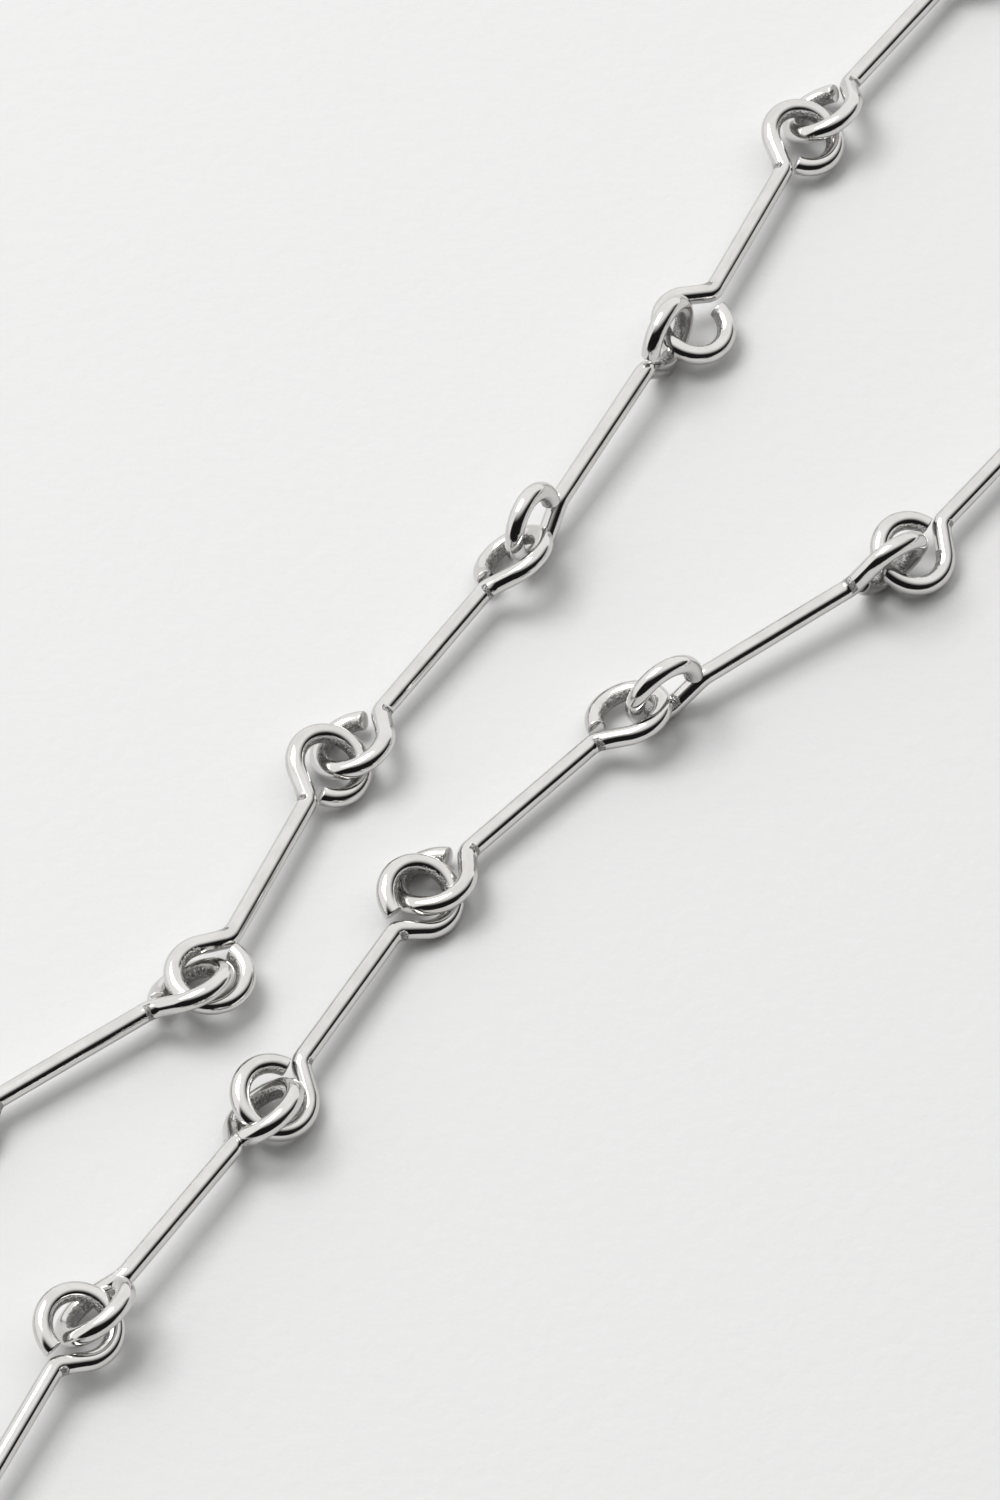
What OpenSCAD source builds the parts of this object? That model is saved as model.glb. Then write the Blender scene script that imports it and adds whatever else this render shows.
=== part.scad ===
// Eyeglasses chain: bar links of round wire, each with an open eye bent at both ends and
// hooked into its neighbour, with a rubber temple loop, cap, jump ring and slider at each end.
// The chain lies on a table in a loose U. +Z is up, the table is z = 0, and the origin is on
// the table under the middle link, the one that rests on the nape of the neck.

/* [Wire links] */
// Diameter of the wire that a link is bent from
wire_d = 1.3; // [1:0.1:1.3]
// Straight bar between the two kinks of a link
bar_l = 12.1; // [11:0.1:14]
// Clear bore of an eye
eye_bore = 3.4; // [3.4:0.1:3.7]
// From a kink to the centre of its eye
eye_reach = 3.15; // [3.1:0.05:3.4]
// Bend radius of the wire at a kink, on its centre line
kink_r = 0.9; // [0.7:0.1:1.1]

/* [Jump rings] */
// Diameter of the jump ring's wire
ring_wire_d = 0.9; // [0.7:0.1:1]
// Outside diameter of a jump ring
ring_d = 5.1; // [4.9:0.1:5.3]

/* [End caps] */
// Outside diameter of the barrel
cap_d = 4.1; // [4:0.1:4.6]
// Length of the barrel
cap_l = 7; // [6:0.5:9]
// Depth of the bore that holds the rubber
cap_bore_depth = 4.5; // [3:0.5:5]

/* [Temple loops] */
// Diameter of the rubber cord
cord_d = 1.44; // [1.3:0.02:1.5]
// Length of the two straight legs, from the cap to the flare
leg_l = 14; // [12:0.5:18]
// Centre-line radius of the round part that grips the temple arm
loop_r = 4.2; // [4:0.1:6]

/* [Sliders] */
// Outside diameter of the slider bead
slider_d = 4; // [3.9:0.1:4.4]
// Length of the slider bead
slider_l = 4.5; // [3:0.5:5]

/* [Hidden] */
$fn = 40;
link_count = 31;
middle = 16;
wire_r = wire_d / 2;
eye_r = (eye_bore + wire_d) / 2;
half_l = bar_l / 2 + eye_reach;

// How far an eye is drawn into the next one, and how steeply a link rests when nothing else says
slack_pull = 1.9;
slack_sway = 0.6;
slack_turn = 45;
rest_roll = 28;
end_roll = 65;
plain_gap = 12;

// A straight piece runs this far into the bend it meets, and is this much slimmer
lap = 0.08;
step = 0.01;

// Jump ring and cap
ring_wire_r = ring_wire_d / 2;
ring_r = (ring_d - ring_wire_d) / 2;
ring_step = 3.1;
ring_tilt = 9;
ring_roll = 8;
ring_z = 2.25;
axis_z = 2.1;
cap_eye_r = 1.7;
cap_eye_wire_r = 0.45;
cap_step = 2.65;
barrel_x = 2.4;
bore_r = 1.6;
mouth_x = barrel_x + cap_l;

// Rubber loop and slider
cord_r = cord_d / 2;
leg_y = 0.78;
root_r = bore_r - 0.02;
root_out = 1;
leg_start = mouth_x + root_out - 0.5;
leg_end = mouth_x + leg_l;
flare_r = 4;
flare_y = leg_y + flare_r;
loop_x = leg_end + sqrt(pow(flare_r + loop_r, 2) - flare_y * flare_y);
flare_a = asin(flare_y / (flare_r + loop_r));
lap_a = 1;
slider_x = mouth_x + root_out + 0.6;
slide_gap = 0.08;

// An eye: [roll about the bar, side the wire leaves on, open gap, lift off the table, offset]
function eye(roll, side, gap = plain_gap, lift = 0, off = 0) = [roll, side, gap, lift, off];

// A link that simply lies on the table; neighbours lean opposite ways
function lean(i) = i % 2 == 1 ? 1 : -1;
function loose(i, heading) =
    [heading, eye(lean(i) * rest_roll, lean(i)), eye(lean(i) * rest_roll, lean(i))];

// How the chain lies, link by link: heading of the bar, first eye, second eye
lay = [
    [118, eye(end_roll, 1), eye(rest_roll, 1)],
    loose(2, 130),
    loose(3, 152),
    loose(4, 180),
    loose(5, -152),
    loose(6, -128),
    [-126, eye(28, 1), eye(33, 1, 15)],
    [-115, eye(-18, -1, 12, 0.5), eye(-16, -1, 20, 0.7)],
    [-119, eye(-86, 1, 15), eye(-78, 1, 12, 0, 1)],
    [-125, eye(37, 1, 20, 0.1), eye(25, 1, 18)],
    [-114, eye(-22, -1, 12, 0.2), eye(-4, -1, 12, 1.2)],
    [-145, eye(38, 1), eye(-28, 1)],
    loose(13, -172),
    loose(14, -158),
    loose(15, -124),
    loose(16, -77),
    loose(17, -30),
    loose(18, 21),
    loose(19, 62),
    [64, eye(-28, 1, 12, 0.2), eye(20, -1, 15, 1.1)],
    [56, eye(-44, 1, 12, 0.3), eye(-42, 1, 8)],
    [60, eye(22, -1, 12, 0.4), eye(22, -1, 18)],
    [46, eye(-20, -1, 20), eye(-22, -1, 20, 0.3)],
    [35, eye(-89, 1, 12, 0, 1), eye(-77, -1)],
    [52, eye(23, -1, 12, 0.3), eye(28, 1)],
    loose(26, 34),
    loose(27, -12),
    loose(28, -58),
    loose(29, -92),
    loose(30, -112),
    [-124, eye(rest_roll, 1), eye(end_roll, 1)]
];

// Where two eyes hook: [joint, pull along the chain, sway across it]; the rest lie slack
hooked = [
    [7, 2.5, -0.1],
    [8, 2.4, -0.8],
    [9, 2.5, 0],
    [10, 2.2, -0.5],
    [11, 1.5, -0.3],
    [17, 1.7, 0],
    [20, 1.4, -0.3],
    [21, 1.5, 0.1],
    [22, 1.5, 0.1],
    [23, 2.4, -0.8],
    [24, 2.3, 0.1]
];

function heading(i) = lay[i - 1][0];
function first_eye(i) = lay[i - 1][1];
function second_eye(i) = lay[i - 1][2];

// Height of the bar's axis over an eye, when the eye's ring touches the table
function rest_z(e) = eye_r * abs(sin(e[0])) + wire_r + e[1] * e[4] * sin(e[0]) + e[3];
function first_z(i) = rest_z(first_eye(i));
function second_z(i) = rest_z(second_eye(i));
function mid_z(i) = (first_z(i) + second_z(i)) / 2;
function slope(i) = asin((second_z(i) - first_z(i)) / (2 * half_l));

// Axes of a link: along its bar, level across it, and square to both
function along(i) = [cos(heading(i)) * cos(slope(i)), sin(heading(i)) * cos(slope(i)), sin(slope(i))];
function across(i) = [-sin(heading(i)), cos(heading(i)), 0];
function above(i) = cross(along(i), across(i));
function eye_dir(i, e) = cos(e[0]) * across(i) + sin(e[0]) * above(i);

// Centre of each eye, measured from the middle of the bar
function first_off(i) = -half_l * along(i) - first_eye(i)[1] * first_eye(i)[4] * eye_dir(i, first_eye(i));
function second_off(i) = half_l * along(i) - second_eye(i)[1] * second_eye(i)[4] * eye_dir(i, second_eye(i));

// From the second eye of link i to the first eye of link i + 1, on the table
function turn(i) = (heading(i + 1) - heading(i) + 540) % 360 - 180;
function hook(i) = [for (h = hooked) if (h[0] == i) h];
function pull(i) = len(hook(i)) > 0 ? hook(i)[0][1] : slack_pull;
function slack(i) = -sign(second_eye(i)[0]) * slack_sway * max(0, 1 - abs(turn(i)) / slack_turn);
function sway(i) = len(hook(i)) > 0 ? hook(i)[0][2] : slack(i);
function mean_heading(i) = heading(i) + turn(i) / 2;
function draw_x(i) = pull(i) * cos(mean_heading(i)) - sway(i) * sin(mean_heading(i));
function draw_y(i) = pull(i) * sin(mean_heading(i)) + sway(i) * cos(mean_heading(i));

// Step on the table from the middle of link i to the middle of link i + 1
function step_x(i) = second_off(i)[0] + draw_x(i) - first_off(i + 1)[0];
function step_y(i) = second_off(i)[1] + draw_y(i) - first_off(i + 1)[1];
function mid_x(i) = i == middle ? 0 : i > middle ? mid_x(i - 1) + step_x(i - 1) : mid_x(i + 1) - step_x(i);
function mid_y(i) = i == middle ? 0 : i > middle ? mid_y(i - 1) + step_y(i - 1) : mid_y(i + 1) - step_y(i);
function mid(i) = [mid_x(i), mid_y(i), mid_z(i)];

function link_name(i) = str("link_", i < 10 ? "0" : "", i);

// A length of round wire along +X from x0 to x1
module rod(x0, x1, radius) {
    translate([x0, 0, 0])
        rotate([0, 90, 0])
            cylinder(h = x1 - x0, r = radius);
}

// Wire bent round +Z, from angle a0 through sweep degrees
module bend(centre_r, radius, a0, sweep) {
    rotate([0, 0, a0])
        rotate_extrude(angle = sweep)
            translate([centre_r, 0])
                circle(r = radius);
}

// Kink, shank and open eye at one end of a bar. The bar's axis is X and its kink corner is
// the origin; the shank leaves towards +Y and the ring ends short of the kink by the gap.
module open_eye(e) {
    off = e[4];
    reach = norm([eye_reach, off]);
    shank = sqrt(reach * reach - eye_r * eye_r);
    lead = asin(eye_r / reach) - atan2(off, eye_reach);
    trim = kink_r * tan(lead / 2);
    start = lead + 90;
    close = 180 - atan2(off, eye_reach);
    mirror([0, e[1] < 0 ? 1 : 0, 0]) {
        translate([-trim, kink_r, 0])
            bend(kink_r, wire_r, -90, lead);
        rotate([0, 0, lead])
            rod(trim - lap, shank + lap, wire_r - step);
        translate([eye_reach, -off, 0])
            bend(eye_r, wire_r, close + e[2] - 360, start + 360 - close - e[2]);
    }
}

function kink_trim(e) =
    kink_r * tan((asin(eye_r / norm([eye_reach, e[4]])) - atan2(e[4], eye_reach)) / 2);

module chain_link(i) {
    color("silver")
        translate(mid(i))
            rotate([0, -slope(i), heading(i)]) {
                rod(kink_trim(first_eye(i)) - lap - bar_l / 2, bar_l / 2 - kink_trim(second_eye(i)) + lap,
                    wire_r - step);
                translate([bar_l / 2, 0, 0])
                    rotate([second_eye(i)[0], 0, 0])
                        open_eye(second_eye(i));
                mirror([1, 0, 0])
                    translate([bar_l / 2, 0, 0])
                        rotate([first_eye(i)[0], 0, 0])
                            open_eye(first_eye(i));
            }
}

// Places children at a chain end: the end eye's centre is on the Z axis, outwards is +X
module at_end(left) {
    i = left ? 1 : link_count;
    c = mid(i) + (left ? first_off(i) : second_off(i));
    translate([c[0], c[1], 0])
        rotate([0, 0, heading(i) + (left ? 180 : 0)])
            children();
}

module jump_ring(left) {
    color("silver")
        at_end(left)
            translate([ring_step, 0, ring_z])
                rotate([left ? ring_roll : -ring_roll, ring_tilt, 0])
                    rotate_extrude()
                        translate([ring_r, 0])
                            circle(r = ring_wire_r);
}

// Places children at the eye of an end cap, with the barrel's axis along +X
module at_cap(left) {
    at_end(left)
        translate([ring_step + cap_step, 0, axis_z])
            children();
}

// Turned barrel with an upright eye: profile is radius against length
module end_cap(left) {
    color("silver")
        at_cap(left) {
            rotate([90, 0, 0])
                rotate_extrude()
                    translate([cap_eye_r, 0])
                        circle(r = cap_eye_wire_r);
            rotate([0, 90, 0])
                rotate_extrude()
                    polygon([
                        [0, cap_eye_r - 0.2],
                        [0.8, cap_eye_r - 0.2],
                        [0.8, barrel_x],
                        [1.5, barrel_x + 0.2],
                        [cap_d / 2, barrel_x + 1],
                        [cap_d / 2, mouth_x - 0.2],
                        [cap_d / 2 - 0.2, mouth_x],
                        [bore_r, mouth_x],
                        [bore_r, mouth_x - cap_bore_depth],
                        [0, mouth_x - cap_bore_depth]
                    ]);
        }
}

// Moulded rubber: a round root glued in the cap, two parallel legs, a flare and a round loop
module temple_loop(left) {
    color("dimgray")
        at_cap(left) {
            rod(mouth_x - cap_bore_depth + 0.1, mouth_x + root_out, root_r);
            for (s = [0, 1])
                mirror([0, s, 0]) {
                    translate([0, leg_y, 0])
                        rod(leg_start, leg_end + lap, cord_r - step);
                    translate([leg_end, flare_y, 0])
                        bend(flare_r, cord_r, -90, 90 - flare_a + lap_a);
                }
            translate([loop_x, 0, 0])
                bend(loop_r, cord_r + step, flare_a - 180, 360 - 2 * flare_a);
        }
}

// Bead with a figure-of-eight bore that runs on the two legs
module slider(left) {
    color("silver")
        at_cap(left)
            difference() {
                rod(slider_x, slider_x + slider_l, slider_d / 2);
                for (s = [-1, 1])
                    translate([0, s * leg_y, 0])
                        rod(slider_x - 1, slider_x + slider_l + 1, cord_r + slide_gap);
            }
}

for (i = [1:link_count])
    chain_link(i);
jump_ring(true);  // left_jump_ring
end_cap(true);  // left_end_cap
temple_loop(true);  // left_temple_loop
slider(true);  // left_slider
jump_ring(false);  // right_jump_ring
end_cap(false);  // right_end_cap
temple_loop(false);  // right_temple_loop
slider(false);  // right_slider
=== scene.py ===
# %% [markdown]
# # Eyeglasses chain
# A spectacle chain is made of short bars of round wire. A wire bender turns an open eye at
# each end of a bar, hooks it into the last one, and closes it with pliers. This lesson models
# the links one by one along the wire, the way they are bent, and finishes them in bright
# nickel plate. The frame below brings in the exact parts, which give every position.

import math

import bmesh
import bpy
from mathutils import Matrix, Vector, noise


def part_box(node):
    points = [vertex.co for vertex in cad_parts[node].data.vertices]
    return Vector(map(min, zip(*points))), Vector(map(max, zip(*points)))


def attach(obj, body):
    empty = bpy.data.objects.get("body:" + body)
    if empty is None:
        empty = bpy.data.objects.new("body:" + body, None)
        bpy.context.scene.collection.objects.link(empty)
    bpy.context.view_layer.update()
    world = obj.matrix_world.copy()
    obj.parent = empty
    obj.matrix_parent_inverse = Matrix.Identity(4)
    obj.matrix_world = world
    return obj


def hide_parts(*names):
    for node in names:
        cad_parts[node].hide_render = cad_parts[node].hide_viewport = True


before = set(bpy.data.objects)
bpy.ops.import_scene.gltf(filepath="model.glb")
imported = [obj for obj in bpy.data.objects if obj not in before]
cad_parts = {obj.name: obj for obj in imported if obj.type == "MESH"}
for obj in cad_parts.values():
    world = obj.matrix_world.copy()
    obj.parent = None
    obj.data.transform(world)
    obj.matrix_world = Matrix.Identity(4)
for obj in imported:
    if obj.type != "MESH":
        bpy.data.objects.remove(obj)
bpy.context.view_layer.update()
MM = 0.001

# %% [markdown]
# ## Measures of the wire
# The numbers are the wire bender's own: the gauge of the wire, the bar between two kinks, and
# where the eye sits. They repeat the exact parts, so that a finer mesh can take their place.

# %% Measures, in millimetres
WIRE_R = 0.65
BAR_L = 12.1
EYE_R = 2.35
EYE_REACH = 3.15
KINK_R = 0.9
HALF_L = BAR_L / 2 + EYE_REACH
REST_ROLL = 28
END_ROLL = 65
LINKS = 31
MIDDLE = 16


def sind(a):
    return math.sin(math.radians(a))


def cosd(a):
    return math.cos(math.radians(a))


# %% [markdown]
# ## How the chain lies
# A loose chain settles with each link rolled one way or the other, resting on its eyes. An eye
# is written as its roll about the bar, the side that the wire leaves on, the open gap, a lift
# off the table where it lies on its neighbour, and an offset that makes it a P instead of a
# round eye. A link is its heading and its two eyes.

# %% Lay of the chain
def eye(roll, side, gap=12, lift=0.0, off=0.0):
    return dict(roll=roll, side=side, gap=gap, lift=lift, off=off)


def loose(number, heading):
    lean = 1 if number % 2 else -1
    return heading, eye(lean * REST_ROLL, lean), eye(lean * REST_ROLL, lean)


LAY = [
    (118, eye(END_ROLL, 1), eye(REST_ROLL, 1)),
    loose(2, 130),
    loose(3, 152),
    loose(4, 180),
    loose(5, -152),
    loose(6, -128),
    (-126, eye(28, 1), eye(33, 1, 15)),
    (-115, eye(-18, -1, 12, 0.5), eye(-16, -1, 20, 0.7)),
    (-119, eye(-86, 1, 15), eye(-78, 1, 12, 0, 1)),
    (-125, eye(37, 1, 20, 0.1), eye(25, 1, 18)),
    (-114, eye(-22, -1, 12, 0.2), eye(-4, -1, 12, 1.2)),
    (-145, eye(38, 1), eye(-28, 1)),
    loose(13, -172),
    loose(14, -158),
    loose(15, -124),
    loose(16, -77),
    loose(17, -30),
    loose(18, 21),
    loose(19, 62),
    (64, eye(-28, 1, 12, 0.2), eye(20, -1, 15, 1.1)),
    (56, eye(-44, 1, 12, 0.3), eye(-42, 1, 8)),
    (60, eye(22, -1, 12, 0.4), eye(22, -1, 18)),
    (46, eye(-20, -1, 20), eye(-22, -1, 20, 0.3)),
    (35, eye(-89, 1, 12, 0, 1), eye(-77, -1)),
    (52, eye(23, -1, 12, 0.3), eye(28, 1)),
    loose(26, 34),
    loose(27, -12),
    loose(28, -58),
    loose(29, -92),
    loose(30, -112),
    (-124, eye(REST_ROLL, 1), eye(END_ROLL, 1)),
]
HOOKED = {
    7: (2.5, -0.1), 8: (2.4, -0.8), 9: (2.5, 0), 10: (2.2, -0.5), 11: (1.5, -0.3), 17: (1.7, 0),
    20: (1.4, -0.3), 21: (1.5, 0.1), 22: (1.5, 0.1), 23: (2.4, -0.8), 24: (2.3, 0.1),
}


# %% Place every link on the table
def rest_z(e):
    return EYE_R * abs(sind(e["roll"])) + WIRE_R + e["side"] * e["off"] * sind(e["roll"]) + e["lift"]


class Link:
    """One link: its heading, its slope, and the three axes that its wire is bent along."""

    def __init__(self, number):
        self.number = number
        self.heading, self.first, self.second = LAY[number - 1]
        z0, z1 = rest_z(self.first), rest_z(self.second)
        self.slope = math.degrees(math.asin((z1 - z0) / (2 * HALF_L)))
        self.turned = Matrix.Rotation(math.radians(self.heading), 3, "Z") @ Matrix.Rotation(
            math.radians(-self.slope), 3, "Y")
        self.mid = Vector((0, 0, (z0 + z1) / 2))

    def eye_centre(self, end):
        e = self.second if end > 0 else self.first
        offset = -e["side"] * e["off"]
        local = Vector((end * HALF_L, offset * cosd(e["roll"]), offset * sind(e["roll"])))
        return self.turned @ local


def step(a, b):
    """From the middle of link a to the middle of the next link b, on the table."""
    turn = (b.heading - a.heading + 540) % 360 - 180
    slack = -math.copysign(0.6, a.second["roll"]) * max(0, 1 - abs(turn) / 45)
    pull, sway = HOOKED.get(a.number, (1.9, slack))
    mean = a.heading + turn / 2
    draw = Vector((pull * cosd(mean) - sway * sind(mean), pull * sind(mean) + sway * cosd(mean), 0))
    return a.eye_centre(1) + draw - b.eye_centre(-1)


links = {n: Link(n) for n in range(1, LINKS + 1)}
for n in range(MIDDLE, LINKS):
    links[n + 1].mid.xy = links[n].mid.xy + step(links[n], links[n + 1]).xy
for n in range(MIDDLE - 1, 0, -1):
    links[n].mid.xy = links[n + 1].mid.xy - step(links[n], links[n + 1]).xy
print("chain from", links[1].mid.to_tuple(1), "to", links[LINKS].mid.to_tuple(1))


def node_name(number):
    return f"link_{number:02d}"


# %% [markdown]
# ## Bending wire with bmesh
# A ring of edges is the cut end of the wire. Extruding it draws the wire straight, and spinning
# it about an axis beside it bends the wire, just as a mandrel does. Each call leaves the open
# ring at the far end, ready for the next bend, so one link is a short chain of such calls.

# %% Draw and bend
FACETS = 36


class Wire:
    """Round wire that starts at a point and is drawn and bent from there."""

    def __init__(self, start, direction, radius, facets=FACETS):
        self.bm = bmesh.new()
        turn = direction.to_track_quat("Z", "Y").to_matrix().to_4x4()
        made = bmesh.ops.create_circle(self.bm, cap_ends=True, radius=radius, segments=facets)
        bmesh.ops.transform(self.bm, matrix=Matrix.Translation(start) @ turn, verts=made["verts"])
        self.ring = list(self.bm.edges)

    def draw(self, offset, steps=1):
        for _ in range(steps):
            grown = bmesh.ops.extrude_edge_only(self.bm, edges=self.ring)["geom"]
            verts = [g for g in grown if isinstance(g, bmesh.types.BMVert)]
            self.ring = [g for g in grown if isinstance(g, bmesh.types.BMEdge)]
            bmesh.ops.translate(self.bm, vec=offset / steps, verts=verts)

    def bend(self, centre, axis, degrees, steps):
        verts = list({v for e in self.ring for v in e.verts})
        spun = bmesh.ops.spin(
            self.bm, geom=verts + self.ring, cent=centre, axis=axis, dvec=(0, 0, 0),
            angle=math.radians(degrees), steps=steps, use_merge=False, use_duplicate=False)
        self.ring = [g for g in spun["geom_last"] if isinstance(g, bmesh.types.BMEdge)]

    def close(self):
        bmesh.ops.contextual_create(self.bm, geom=self.ring)


# %% [markdown]
# Every point of the wire also keeps its place on the skin: where it lies round the wire, how
# far along, and how much it faces the inside of a bend. The finish reads these, so that draw
# lines follow the wire round its bends and plier marks stay where the metal was squeezed.

# %% Marks on the skin
TIGHT_BEND, TIGHT_FORCE = 1.0, 1.6


class MarkedWire(Wire):
    """Wire whose points carry skin (round x, round y, along) and squeeze (inside of a bend)."""

    def __init__(self, start, direction, radius, facets=FACETS):
        super().__init__(start, direction, radius, facets)
        self.radius = radius
        self.along = 0.0
        self.skin = self.bm.verts.layers.float_vector.new("skin")
        self.squeeze = self.bm.verts.layers.float.new("squeeze")
        for v in self.bm.verts:
            angle = 2 * math.pi * v.index / facets
            v[self.skin] = (radius * math.cos(angle), radius * math.sin(angle), 0)

    def mark(self, length, centre=None, force=1.0):
        self.along += length
        verts = list({v for e in self.ring for v in e.verts})
        middle = sum((v.co for v in verts), Vector()) / len(verts)
        for v in verts:
            x, y, _ = v[self.skin]
            v[self.skin] = (x, y, self.along)
            inward = 0.0
            if centre is not None:
                inward = (v.co - middle).normalized().dot((centre - middle).normalized())
            v[self.squeeze] = force * inward

    def draw(self, offset, steps=1):
        for _ in range(steps):
            super().draw(offset / steps)
            self.mark(offset.length / steps)

    def bend(self, centre, axis, degrees, steps, radius=1.0):
        force = TIGHT_FORCE if radius < TIGHT_BEND else 1.0
        for _ in range(steps):
            super().bend(centre, axis, degrees / steps, 1)
            self.mark(abs(math.radians(degrees)) * radius / steps, centre, force)


# %% [markdown]
# ## One link
# The bender starts at the cut end of the first eye: round the eye, along the shank, through the
# kink, down the bar, and the same the other way. Each eye is flat in its own plane, which is
# rolled about the bar, so the plane's two directions are worked out first.

# %% An eye's plane and its bends
class EyePlane:
    """An eye in its plane: u runs out along the bar from the kink, w to the shank's side."""

    def __init__(self, e, end):
        self.u = Vector((end, 0, 0))
        self.w = e["side"] * Vector((0, cosd(e["roll"]), sind(e["roll"])))
        self.axis = self.u.cross(self.w)
        self.kink = end * BAR_L / 2 * Vector((1, 0, 0))
        tilt = math.degrees(math.atan2(e["off"], EYE_REACH))
        reach = math.hypot(e["off"], EYE_REACH)
        self.lead = math.degrees(math.asin(EYE_R / reach)) - tilt
        self.trim = KINK_R * math.tan(math.radians(self.lead / 2))
        self.shank = math.sqrt(reach ** 2 - EYE_R ** 2) - self.trim
        self.sweep = self.lead + 450 - (180 - tilt) - e["gap"]
        self.centre = self.at(EYE_REACH, -e["off"])
        self.kink_centre = self.at(-self.trim, KINK_R)
        tail = math.radians(180 - tilt + e["gap"] - 360)
        self.tip = self.centre + EYE_R * (math.cos(tail) * self.u + math.sin(tail) * self.w)
        self.tip_way = math.cos(tail) * self.w - math.sin(tail) * self.u
        lead = math.radians(self.lead)
        self.out = math.cos(lead) * self.u + math.sin(lead) * self.w

    def at(self, u, w):
        return self.kink + u * self.u + w * self.w


EYE_STEPS = 92
KINK_STEPS = 12


# %% Bend a whole link
def bend_link(link):
    a, b = EyePlane(link.first, -1), EyePlane(link.second, 1)
    wire = MarkedWire(a.tip, a.tip_way, WIRE_R)
    wire.bend(a.centre, a.axis, a.sweep, EYE_STEPS, EYE_R)
    wire.draw(-a.shank * a.out, 3)
    wire.bend(a.kink_centre, a.axis, -a.lead, KINK_STEPS, KINK_R)
    wire.draw(Vector((BAR_L - a.trim - b.trim, 0, 0)), 40)
    wire.bend(b.kink_centre, b.axis, b.lead, KINK_STEPS, KINK_R)
    wire.draw(b.shank * b.out, 3)
    wire.bend(b.centre, b.axis, -b.sweep, EYE_STEPS, EYE_R)
    wire.close()
    return wire.bm


def round_cut_ends(bm, amount):
    """Breaks the sharp rim that the cutter leaves on every flat end."""
    rims = [e for f in bm.faces if len(f.verts) > 4 for e in f.edges]
    bmesh.ops.bevel(bm, geom=rims, offset=amount, offset_type="OFFSET", segments=3,
                    profile=0.5, affect="EDGES", material=-1, clamp_overlap=True)


# %% [markdown]
# ## From a bmesh to a piece
# The mesh is made in millimetres about the middle of the link. Its place on the table goes into
# the points themselves, so the finished object sits at the origin like every exact part.

# %% Make a piece of a bmesh
def to_piece(bm, name, body, node, matrix):
    bmesh.ops.transform(bm, matrix=Matrix.Scale(MM, 4) @ matrix, verts=bm.verts)
    bmesh.ops.recalc_face_normals(bm, faces=bm.faces)
    mesh = bpy.data.meshes.new(name)
    bm.to_mesh(mesh)
    bm.free()
    mesh.shade_smooth()
    piece = bpy.data.objects.new(name, mesh)
    bpy.context.scene.collection.objects.link(piece)
    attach(piece, body)
    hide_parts(node)
    return piece


# %% [markdown]
# ## Plier marks
# Pliers squeeze the inside of each bend and leave it faintly rippled, and their corner digs a
# small dent in the tight kink. No hand-bent wire is quite true either, so a little slow noise in
# the metal itself keeps thirty-one links from looking cast.

# %% Ripple the squeezed metal
def ripple(bm, seed, depth=0.012):
    skin = bm.verts.layers.float_vector["skin"]
    squeeze = bm.verts.layers.float["squeeze"]
    bm.normal_update()
    for v in bm.verts:
        x, y, along = v[skin]
        pressed = max(0.0, v[squeeze] - 0.25)
        rough = noise.noise(Vector((x * 2, y * 2, along * 3.1 + seed * 17)))
        slow = noise.noise(Vector((x * 0.6, y * 0.6, along * 0.35 + seed * 11)))
        dent = max(0.0, v[squeeze] - 1.0) * (0.07 + 0.08 * abs(rough))
        v.co += v.normal * (depth * pressed * rough + 0.006 * slow - dent)


# %% All the links
def build_link(number):
    link = links[number]
    bm = bend_link(link)
    round_cut_ends(bm, 0.09)
    ripple(bm, number)
    place = Matrix.Translation(link.mid) @ link.turned.to_4x4()
    name = node_name(number)
    return to_piece(bm, "wire_" + name, name, name, place)


wire_links = [build_link(n) for n in range(1, LINKS + 1)]
print("links:", len(wire_links), "points in one:", len(wire_links[0].data.vertices))


# %% Compare with the exact parts
def largest_miss(piece, node):
    low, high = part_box(node)
    points = [v.co for v in piece.data.vertices]
    miss = [abs(min(p[k] for p in points) - low[k]) for k in range(3)]
    miss += [abs(max(p[k] for p in points) - high[k]) for k in range(3)]
    return max(miss) / MM


worst = max(largest_miss(p, node_name(n + 1)) for n, p in enumerate(wire_links))
print(f"largest difference from an exact link: {worst:.3f} mm")


# %% [markdown]
# ## The two ends
# The last eye carries a jump ring, and the ring carries a turned cap. Black rubber is glued in
# the cap and makes the loop that grips a temple arm, with a bead that slides to tighten it.
# The measures repeat the exact parts. Each end has its own place: outwards is +X.

# %% Measures and places of the ends
RING_R, RING_WIRE_R = 2.1, 0.45
CAP_EYE_R, CAP_EYE_WIRE_R = 1.7, 0.45
BARREL_R, BARREL_START, BORE_R = 2.05, 2.4, 1.6
MOUTH = BARREL_START + 7
RING_STEP, CAP_STEP = 3.1, 2.65
RING_Z, AXIS_Z = 2.25, 2.1
CORD_R, LEG_Y, LEG_L = 0.72, 0.78, 14
FLARE_R, LOOP_R = 4.0, 4.2
SLIDER_R, SLIDER_L, SLIDER_X = 2.0, 4.5, MOUTH + 1.6
DRILL_PLAY = 0.08


def end_place(side):
    left = side == "left"
    link = links[1 if left else LINKS]
    centre = link.mid + link.eye_centre(-1 if left else 1)
    heading = link.heading + (180 if left else 0)
    return Matrix.Translation((centre.x, centre.y, 0)) @ Matrix.Rotation(math.radians(heading), 4, "Z")


def cap_place(side):
    return end_place(side) @ Matrix.Translation((RING_STEP + CAP_STEP, 0, AXIS_Z))


# %% [markdown]
# A jump ring is cut from a coil and pressed shut, so it has a hairline butt joint. It is one
# bend of wire that stops just short of a full turn, with its two cut ends left sharp.

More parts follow.
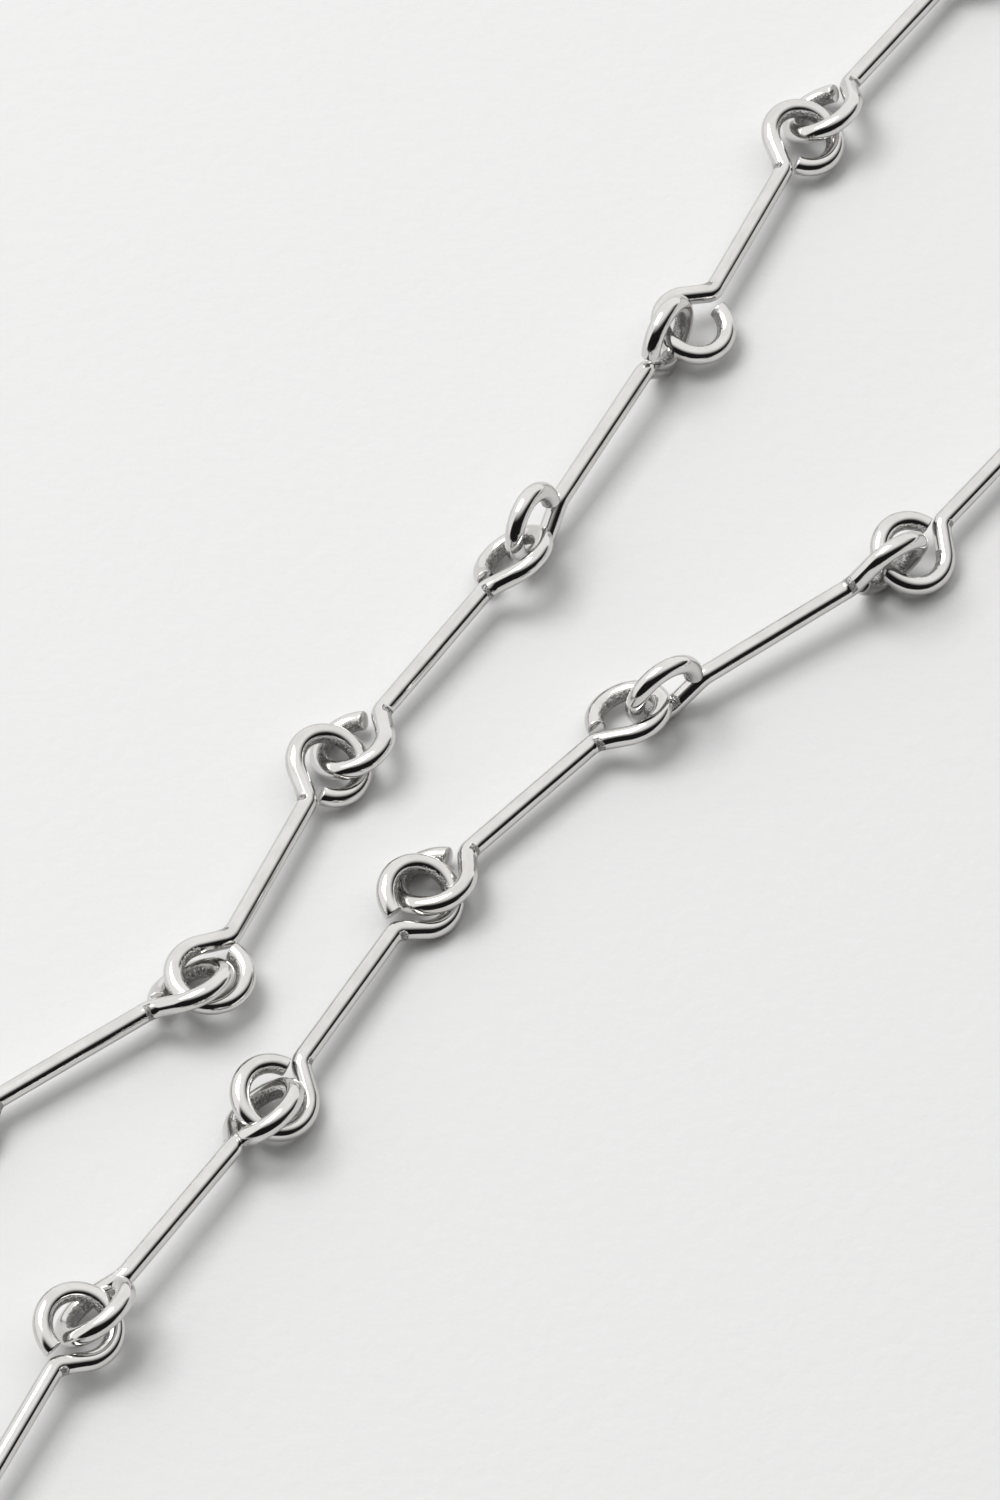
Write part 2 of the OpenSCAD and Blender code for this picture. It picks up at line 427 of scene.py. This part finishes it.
# %% Jump rings
def jump_ring(side):
    joint = 0.7
    flip = 1 if side == "left" else -1
    start = Matrix.Rotation(math.radians(joint / 2), 3, "Z") @ Vector((RING_R, 0, 0))
    wire = MarkedWire(start, Vector((0, 1, 0)), RING_WIRE_R, 28)
    wire.bend(Vector(), Vector((0, 0, 1)), 360 - joint, 96, RING_R)
    wire.close()
    round_cut_ends(wire.bm, 0.02)
    tilt = Matrix.Rotation(math.radians(9), 4, "Y") @ Matrix.Rotation(math.radians(8 * flip), 4, "X")
    turn = Matrix.Rotation(math.radians(130), 4, "Z")
    place = end_place(side) @ Matrix.Translation((RING_STEP, 0, RING_Z)) @ tilt @ turn
    name = side + "_jump_ring"
    return to_piece(wire.bm, "wire_" + name, name, name, place)


rings = [jump_ring(side) for side in ("left", "right")]
print("jump rings:", [len(r.data.vertices) for r in rings])


# %% [markdown]
# ## Turning a part
# A cap comes off a lathe: its profile is drawn as a chain of edges beside the axis and spun a
# full turn. The spin merges its last step into its first, and the points on the axis are merged
# too, so the body is closed. Small radii on the corners are in the profile itself.

# %% Spin a profile about X
def turned(profile, steps=72):
    bm = bmesh.new()
    verts = [bm.verts.new((x, r, 0)) for r, x in profile]
    edges = [bm.edges.new(pair) for pair in zip(verts, verts[1:])]
    bmesh.ops.spin(bm, geom=verts + edges, cent=(0, 0, 0), axis=(1, 0, 0), dvec=(0, 0, 0),
                   angle=2 * math.pi, steps=steps, use_merge=True, use_duplicate=False)
    bmesh.ops.remove_doubles(bm, verts=bm.verts, dist=1e-4)
    bmesh.ops.recalc_face_normals(bm, faces=bm.faces)
    return bm


def rounded(corners, radius=0.08, steps=4):
    """The profile with each inner corner replaced by a short arc of points."""
    points = [corners[0]]
    for before, corner, after in zip(corners, corners[1:], corners[2:]):
        p, c, q = Vector(before), Vector(corner), Vector(after)
        cut = min(radius, (p - c).length * 0.45, (q - c).length * 0.45)
        start, end = c + (p - c).normalized() * cut, c + (q - c).normalized() * cut
        for k in range(steps + 1):
            t = k / steps
            points.append(tuple((1 - t) ** 2 * start + 2 * t * (1 - t) * c + t * t * end))
    return points + [corners[-1]]


def mark_turned(bm):
    skin = bm.verts.layers.float_vector.new("skin")
    bm.verts.layers.float.new("squeeze")
    for v in bm.verts:
        v[skin] = (v.co.y, v.co.z, v.co.x)


# %% [markdown]
# The cap has a domed shoulder behind its eye, two fine grooves near the mouth, and a rolled lip
# where the rubber goes in. The eye is a closed ring of wire whose foot is sunk in the shoulder.

# %% End caps
def cap_profile():
    r, x = BARREL_R, BARREL_START
    dome = [(0, 1.55), (0.55, 1.55), (0.8, x - 0.1), (1.45, x + 0.2)]
    swell = [(1.85, x + 0.55), (r, x + 1)]
    grooves = []
    for at in (MOUTH - 1.7, MOUTH - 1.2):
        grooves += [(r, at - 0.12), (r - 0.12, at - 0.04), (r - 0.12, at + 0.04), (r, at + 0.12)]
    lip = [(r, MOUTH - 0.02), (BORE_R, MOUTH), (BORE_R, MOUTH - 4.4), (0, MOUTH - 4.4)]
    return rounded(dome + swell + grooves + lip)


def end_cap(side):
    bm = turned(cap_profile(), 80)
    made = bmesh.ops.create_circle(bm, radius=CAP_EYE_WIRE_R, segments=24)
    bmesh.ops.translate(bm, verts=made["verts"], vec=(CAP_EYE_R, 0, 0))
    circle = [e for e in bm.edges if not e.link_faces]
    bmesh.ops.spin(bm, geom=made["verts"] + circle, cent=(0, 0, 0), axis=(0, 1, 0), dvec=(0, 0, 0),
                   angle=2 * math.pi, steps=72, use_merge=True, use_duplicate=False)
    mark_turned(bm)
    return to_piece(bm, f"turned_{side}_cap", side + "_temple_end", side + "_end_cap",
                    cap_place(side))


caps = [end_cap(side) for side in ("left", "right")]
print("caps:", [len(c.data.vertices) for c in caps])


# %% [markdown]
# ## Rubber temple loops
# The loop is moulded in one piece: a plug in the cap, two legs side by side, a flare, and the
# round part that grips the temple arm. It is drawn and bent like the wire, then given the fine
# raised line that the two halves of the mould leave along its middle.

# %% Temple loops
def loop_cord():
    flare_y = LEG_Y + FLARE_R
    flare = math.degrees(math.asin(flare_y / (FLARE_R + LOOP_R)))
    leg_end = MOUTH + LEG_L
    loop_x = leg_end + math.sqrt((FLARE_R + LOOP_R) ** 2 - flare_y ** 2)
    up = Vector((0, 0, 1))
    cord = MarkedWire(Vector((MOUTH + 0.4, -LEG_Y, 0)), Vector((1, 0, 0)), CORD_R, 32)
    cord.draw(Vector((leg_end - MOUTH - 0.4, 0, 0)), 24)
    cord.bend(Vector((leg_end, -flare_y, 0)), up, flare - 90, 14, FLARE_R)
    cord.bend(Vector((loop_x, 0, 0)), up, 360 - 2 * flare, 96, LOOP_R)
    cord.bend(Vector((leg_end, flare_y, 0)), up, flare - 90, 14, FLARE_R)
    cord.draw(Vector((MOUTH + 0.4 - leg_end, 0, 0)), 24)
    cord.close()
    return cord.bm


def mould_line(bm, height=0.035):
    bm.normal_update()
    for v in bm.verts:
        near = max(0.0, 1 - abs(v.co.z) / 0.1)
        v.co += v.normal * height * near


def temple_loop(side):
    bm = loop_cord()
    mould_line(bm)
    root = turned(rounded([(0, MOUTH - 4.3), (BORE_R - 0.03, MOUTH - 4.3), (BORE_R - 0.03, MOUTH + 0.1),
                           (BORE_R - 0.1, MOUTH + 0.75), (1.3, MOUTH + 1), (0, MOUTH + 1)], 0.15), 56)
    root_mesh = bpy.data.meshes.new("root")
    root.to_mesh(root_mesh)
    root.free()
    bm.from_mesh(root_mesh)
    bpy.data.meshes.remove(root_mesh)
    return to_piece(bm, f"rubber_{side}_loop", side + "_temple_end", side + "_temple_loop",
                    cap_place(side))


loops = [temple_loop(side) for side in ("left", "right")]
print("loops:", [len(p.data.vertices) for p in loops])


# %% [markdown]
# ## Sliders
# The bead is turned with a waist and two grooves for the fingers, then drilled twice, so closely
# that the two holes run into one figure of eight. The holes are cut with a Boolean, because the
# drill takes away whatever it meets, and the result is applied to the mesh.

# %% Sliders
def slider_blank():
    r, a, b = SLIDER_R, SLIDER_X, SLIDER_X + SLIDER_L
    waist = [(r - 0.14, a + 1.1), (r - 0.14, a + 1.3), (r - 0.02, a + 1.45)]
    back = [(r - 0.02, b - 1.45), (r - 0.14, b - 1.3), (r - 0.14, b - 1.1)]
    return turned(rounded([(0, a), (r - 0.3, a), (r, a + 0.3), (r, a + 1)] + waist + back +
                          [(r, b - 1), (r, b - 0.3), (r - 0.3, b), (0, b)], 0.15), 80)


def drilled(bm):
    mesh = bpy.data.meshes.new("blank")
    bm.to_mesh(mesh)
    bm.free()
    blank = bpy.data.objects.new("blank", mesh)
    bpy.context.scene.collection.objects.link(blank)
    for k in (-1, 1):
        drill = bmesh.new()
        bmesh.ops.create_cone(drill, cap_ends=True, segments=48, radius1=CORD_R + DRILL_PLAY,
                              radius2=CORD_R + DRILL_PLAY, depth=SLIDER_L + 2)
        lay_down = Matrix.Rotation(math.pi / 2, 3, "Y")
        bmesh.ops.rotate(drill, verts=drill.verts, cent=(0, 0, 0), matrix=lay_down)
        bmesh.ops.translate(drill, verts=drill.verts, vec=(SLIDER_X + SLIDER_L / 2, k * LEG_Y, 0))
        tool_mesh = bpy.data.meshes.new("drill")
        drill.to_mesh(tool_mesh)
        drill.free()
        tool = bpy.data.objects.new("drill", tool_mesh)
        bpy.context.scene.collection.objects.link(tool)
        cut = blank.modifiers.new("drill", "BOOLEAN")
        cut.operation, cut.solver, cut.object = "DIFFERENCE", "EXACT", tool
        bpy.context.view_layer.update()
        seen = blank.evaluated_get(bpy.context.evaluated_depsgraph_get())
        result = bpy.data.meshes.new_from_object(seen)
        blank.modifiers.clear()
        blank.data = result
        bpy.data.objects.remove(tool)
    out = bmesh.new()
    out.from_mesh(blank.data)
    bpy.data.objects.remove(blank)
    return out


def slider(side):
    bm = drilled(slider_blank())
    mark_turned(bm)
    return to_piece(bm, f"turned_{side}_slider", side + "_slider", side + "_slider",
                    cap_place(side))


sliders = [slider(side) for side in ("left", "right")]
print("sliders:", [len(p.data.vertices) for p in sliders])


# %% [markdown]
# ## Writing shaders as sums
# A finish is easier to read as arithmetic. A small class stands for one output of a node, and
# adding, multiplying or subtracting such values adds the Math node that does it. Every other
# node comes from one method, given its kind, its settings and what goes into its inputs.

# %% Shader helpers
class Value:
    """One output of a shader node, on which arithmetic adds Math nodes."""

    def __init__(self, nodes, socket):
        self.nodes, self.socket = nodes, socket

    def math(self, operation, *others):
        return self.nodes.node("ShaderNodeMath", {"operation": operation},
                                dict(enumerate((self,) + others)))

    def __add__(self, other):
        return self.math("ADD", other)

    def __sub__(self, other):
        return self.math("SUBTRACT", other)

    def __mul__(self, other):
        return self.math("MULTIPLY", other)

    def __rsub__(self, other):
        return (self * -1) + other

    __radd__, __rmul__ = __add__, __mul__

    def rise(self, low, high):
        """0 below low, 1 above high, and smooth between them."""
        return self.nodes.node("ShaderNodeMapRange", {"interpolation_type": "SMOOTHSTEP"},
                                {"Value": self, "From Min": low, "From Max": high})


class Nodes:
    """A node tree, and the one way to add a node to it."""

    def __init__(self, tree):
        self.tree = tree

    def node(self, kind, settings=None, inputs=None, output=0):
        made = self.tree.nodes.new(kind)
        for key, value in (settings or {}).items():
            setattr(made, key, value)
        for key, value in (inputs or {}).items():
            if isinstance(value, Value):
                self.tree.links.new(value.socket, made.inputs[key])
            else:
                made.inputs[key].default_value = value
        return Value(self, made.outputs[output])

    def attribute(self, name, output):
        return self.node("ShaderNodeAttribute", {"attribute_name": name}, output=output)

    def noise(self, vector, scale, detail=2.0, roughness=0.5):
        return self.node("ShaderNodeTexNoise", {}, {
            "Vector": vector, "Scale": scale, "Detail": detail, "Roughness": roughness})

    def stretched(self, vector, x, y, z):
        return self.node("ShaderNodeMapping", {}, {"Vector": vector, "Scale": (x, y, z)})

    def mixed(self, factor, *colours):
        first, second = (c if isinstance(c, Value) else (*c, 1) for c in colours)
        return self.node("ShaderNodeMix", {"data_type": "RGBA"},
                         {0: factor, 6: first, 7: second}, output=2)

    def bump(self, height, distance, strength=1.0):
        return self.node("ShaderNodeBump", {}, {
            "Height": height, "Distance": distance, "Strength": strength})


class Finish(Nodes):
    """A material: its nodes and its Principled shader."""

    def __init__(self, name, **uniform):
        self.material = bpy.data.materials.new(name)
        self.material.use_nodes = True
        super().__init__(self.material.node_tree)
        self.shader = self.tree.nodes["Principled BSDF"]
        for key, value in uniform.items():
            self.shader.inputs[key.replace("_", " ")].default_value = value

    def into(self, **inputs):
        for key, value in inputs.items():
            self.tree.links.new(value.socket, self.shader.inputs[key.replace("_", " ")])
        return self.material


# %% [markdown]
# ## Bright nickel
# Drawn wire carries hair-fine lines along its length. Nickel plate over them is bright but not
# a mirror, a touch warm, and pitted and dull where the pliers roughed the inside of a bend. The
# pits are also painted near black, which is painted shade for the crease inside each bend. The
# lines are noise stretched along the wire, and the pits are noise kept to the squeezed side,
# with a ragged edge because the same grain shifts where the squeezed side begins.

# %% Nickel on drawn wire
def nickel_wire(name, marks_and_shade):
    finish = Finish(name, Metallic=1.0)
    skin = finish.attribute("skin", "Vector")
    squeeze = finish.attribute("squeeze", "Fac")
    lines = finish.noise(finish.stretched(skin, 9, 9, 0.25), 2.0, 3.0)
    clouds = finish.noise(finish.stretched(skin, 1, 1, 0.5), 1.2, 2.0)
    grain = finish.noise(finish.stretched(skin, 1, 1, 1.8), 6.0, 4.0, 0.65)
    pressed = (squeeze + grain * 0.6).rise(0.96, 1.2)
    nips = finish.noise(finish.stretched(skin, 0.5, 0.5, 3.0), 3.0, 2.0)
    # The pits are real plier pits on the squeezed side. Their near-black colour below is painted shade
    # for the crease inside each bend.
    pits_and_painted_shade = pressed * marks_and_shade * grain.rise(0.38, 0.62)
    rough = 0.05 + lines * 0.05 + clouds * 0.04 + pressed * (0.08 + grain * 0.2) * marks_and_shade
    plate = finish.mixed(clouds.rise(0.3, 0.7), (0.63, 0.62, 0.60), (0.69, 0.68, 0.665))
    tone = finish.mixed(pits_and_painted_shade * 0.9, plate, (0.10, 0.097, 0.093))
    height = lines * 0.0012 + clouds * 0.004 + pressed * marks_and_shade * (grain * 0.09 + nips * 0.1)
    return finish.into(Roughness=rough, Base_Color=tone, Normal=finish.bump(height, MM, 1.0))


bright_wire = nickel_wire("bright_nickel_wire", 1.0)
bright_ring = nickel_wire("bright_nickel_ring", 0.3)


# %% [markdown]
# ## Turned silver
# A lathe leaves fine rings round the part. The plating softens them, and handling adds faint
# scuffs that run every way.

# %% Nickel on turned parts
def turned_nickel(name):
    finish = Finish(name, Metallic=1.0)
    skin = finish.attribute("skin", "Vector")
    rings = finish.noise(finish.stretched(skin, 0.05, 0.05, 14), 1.5, 2.0)
    scuffs = finish.noise(finish.stretched(skin, 1.5, 1.5, 1.5), 2.5, 5.0, 0.7)
    rough = 0.12 + rings * 0.1 + scuffs.rise(0.5, 0.75) * 0.12
    tone = finish.mixed(scuffs, (0.74, 0.73, 0.705), (0.84, 0.83, 0.805))
    height = rings * 0.006 + scuffs * 0.003
    return finish.into(Roughness=rough, Base_Color=tone, Normal=finish.bump(height, MM, 1.0))


turned_finish = turned_nickel("turned_nickel")


# %% [markdown]
# ## Black rubber
# Moulded rubber is soft black with a fine bloom, a little duller where it is handled, and has a
# skin like very fine leather. It is not metal, so its gloss is low and wide.

# %% Rubber
def moulded_rubber(name):
    finish = Finish(name, Metallic=0.0, Specular_IOR_Level=0.35)
    place = finish.node("ShaderNodeTexCoord", output="Object")
    bloom = finish.noise(place, 160.0, 4.0, 0.6)
    pores = finish.node("ShaderNodeTexVoronoi", {"feature": "SMOOTH_F1"}, {
        "Vector": place, "Scale": 7000.0})
    tone = finish.mixed(bloom.rise(0.35, 0.7), (0.009, 0.009, 0.01), (0.022, 0.022, 0.023))
    rough = 0.48 + bloom * 0.18
    height = pores * 0.006 + bloom * 0.012
    return finish.into(Roughness=rough, Base_Color=tone, Normal=finish.bump(height, MM, 1.0))


rubber = moulded_rubber("black_rubber")


# %% Put the finishes on
def paint(pieces, material):
    for piece in pieces:
        piece.data.materials.clear()
        piece.data.materials.append(material)


paint(wire_links, bright_wire)
paint(rings, bright_ring)
paint(caps + sliders, turned_finish)
paint(loops, rubber)
print("finishes:", sorted({p.data.materials[0].name for p in wire_links + rings + caps + loops}))


# %% [markdown]
# ## Table and light
# Polished wire shows nothing of its own, only the room. The room here is a pale table, a bright
# back and left, and a dark wall at the front and right that fades into the ceiling and stands, on
# the right, on a low white skirting. The wall draws the black line along every bar, sharp below
# where it meets the skirting and soft above. A steep soft box at the back left casts the short shadows;
# it is too high to be seen in the bars.

# %% Table
SHEET = 3.0
table_mesh = bmesh.new()
bmesh.ops.create_grid(table_mesh, x_segments=2, y_segments=2, size=SHEET)
mesh = bpy.data.meshes.new("table")
table_mesh.to_mesh(mesh)
table_mesh.free()
table = bpy.data.objects.new("table", mesh)
bpy.context.scene.collection.objects.link(table)
paper = Finish("pale_paper", Base_Color=(0.67, 0.67, 0.672, 1), Roughness=0.95)
fibres = paper.noise(paper.node("ShaderNodeTexCoord", output="Object"), 900.0, 3.0, 0.6)
paint([table], paper.into(Normal=paper.bump(fibres, 0.00004, 1.0)))

# %% Room
world = bpy.data.worlds.new("room")
bpy.context.scene.world = world
world.use_nodes = True
room = Nodes(world.node_tree)
sky = room.tree.nodes["Background"]


def compass(degrees):
    return (cosd(degrees), sind(degrees), 0.0)


looking = room.node("ShaderNodeTexCoord", output="Generated")
height = room.node("ShaderNodeSeparateXYZ", {}, {0: looking}, output=2)


def toward(degrees):
    return room.node("ShaderNodeVectorMath", {"operation": "DOT_PRODUCT"},
                     {0: looking, 1: compass(degrees)}, output="Value")


front = toward(-90)
ceiling = (height - 0.55 * front).rise(0.4, 1.0)
skirting = (1 - height.rise(0.11, 0.16)) * (1 - front.rise(0.3, 0.7))
wall = toward(-60).rise(-0.15, 0.05)
bright = 1 - wall * (1 - ceiling) * (1 - 0.75 * skirting)
tone = room.mixed(bright, (0.012, 0.012, 0.013), (1.12, 1.115, 1.105))
room.tree.links.new(tone.socket, sky.inputs["Color"])
sky.inputs["Strength"].default_value = 1.0


# %% Soft box
def soft_box(name, direction, distance, size, power):
    light = bpy.data.lights.new(name, "AREA")
    light.shape, light.size, light.size_y = "RECTANGLE", size[0], size[1]
    light.energy = power
    box = bpy.data.objects.new(name, light)
    bpy.context.scene.collection.objects.link(box)
    direction = Vector(direction).normalized()
    box.location = aim_point + direction * distance
    box.rotation_euler = direction.to_track_quat("Z", "Y").to_euler()
    return box


aim_point = Vector(((links[10].mid.x + 4.4) * MM, (links[10].mid.y - 6.7) * MM, 0))
soft_box("soft_box", direction=(-0.40, 0.28, 0.88), distance=0.9, size=(0.5, 0.5), power=5.3)


# %% [markdown]
# ## Camera
# A long lens looks down at the table at 54 degrees, from far enough that the two strands keep
# nearly one scale from top to bottom.

# %% Camera
LOOK_DOWN = 54
DISTANCE = 0.592
camera = bpy.data.cameras.new("camera")
camera.sensor_fit, camera.sensor_height, camera.lens = "VERTICAL", 24, 144
camera.clip_start, camera.clip_end = 0.01, 20
view = bpy.data.objects.new("camera", camera)
bpy.context.scene.collection.objects.link(view)
view.location = aim_point + DISTANCE * Vector((0, -cosd(LOOK_DOWN), sind(LOOK_DOWN)))
view.rotation_euler = (math.radians(90 - LOOK_DOWN), 0, 0)
bpy.context.scene.camera = view
bpy.context.scene.view_settings.view_transform = "Standard"
print("camera at", view.location.to_tuple(3))
